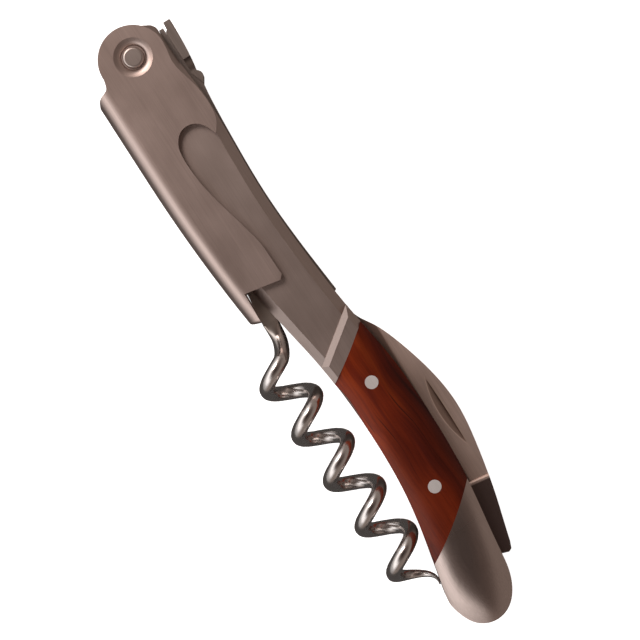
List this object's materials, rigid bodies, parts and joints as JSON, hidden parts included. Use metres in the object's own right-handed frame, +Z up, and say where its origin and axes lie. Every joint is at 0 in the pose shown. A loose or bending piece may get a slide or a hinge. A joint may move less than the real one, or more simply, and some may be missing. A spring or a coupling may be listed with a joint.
{
  "type": "waiters corkscrew",
  "caption": "Folding waiters corkscrew with curved wood and steel handle, channel lever with cap lifter and forked foot, swing-out worm and foil blade.",
  "frame": {"origin": "centre of the closed tool's footprint, on the plane it lies on", "axes": "+X along the handle from the lever's head to the butt, +Y from the worm's side to the blade's side, +Z up, along every hinge axis"},
  "size_m": [0.1238, 0.0286, 0.0132],
  "materials": {
    "liner_steel": "brushed stainless sheet",
    "bolster_steel": "satin, slightly warm",
    "lever_steel": "fine matte satin",
    "spring_steel": "brushed",
    "blade_steel": "ground and satin polished",
    "worm_steel": "polished",
    "pin_steel": "polished heads",
    "wood": "oiled reddish hardwood, dark streaked grain"
  },
  "bodies": {
    "handle": {"liner_left": "liner_steel", "liner_right": "liner_steel", "front_bolster_left": "bolster_steel", "front_bolster_right": "bolster_steel", "rear_bolster_left": "bolster_steel", "rear_bolster_right": "bolster_steel", "wood_scale_left": "wood", "wood_scale_right": "wood", "back_spring": "spring_steel", "blade_spring": "spring_steel", "head_plate": "spring_steel", "front_spacer": "liner_steel", "lever_rivet": "pin_steel", "worm_pin": "pin_steel", "blade_pin": "pin_steel", "scale_pins": "pin_steel", "frame_pins": "pin_steel"},
    "lever": {"lever": "lever_steel"},
    "worm": {"worm": "worm_steel"},
    "blade": {"foil_blade": "blade_steel"}
  },
  "joints": [
    {"name": "lever_hinge", "type": "hinge", "parent": "handle", "child": "lever", "pos_m": [-0.05606, -0.00076, 0.0066], "axis": [0, 0, 1], "range_deg": [-170, 0]},
    {"name": "worm_hinge", "type": "hinge", "parent": "handle", "child": "worm", "pos_m": [-0.01406, -0.00376, 0.0066], "axis": [0, 0, 1], "range_deg": [-100, 0]},
    {"name": "blade_hinge", "type": "hinge", "parent": "handle", "child": "blade", "pos_m": [0.04894, 0.00424, 0.0066], "axis": [0, 0, 1], "range_deg": [-180, 0]}
  ]
}
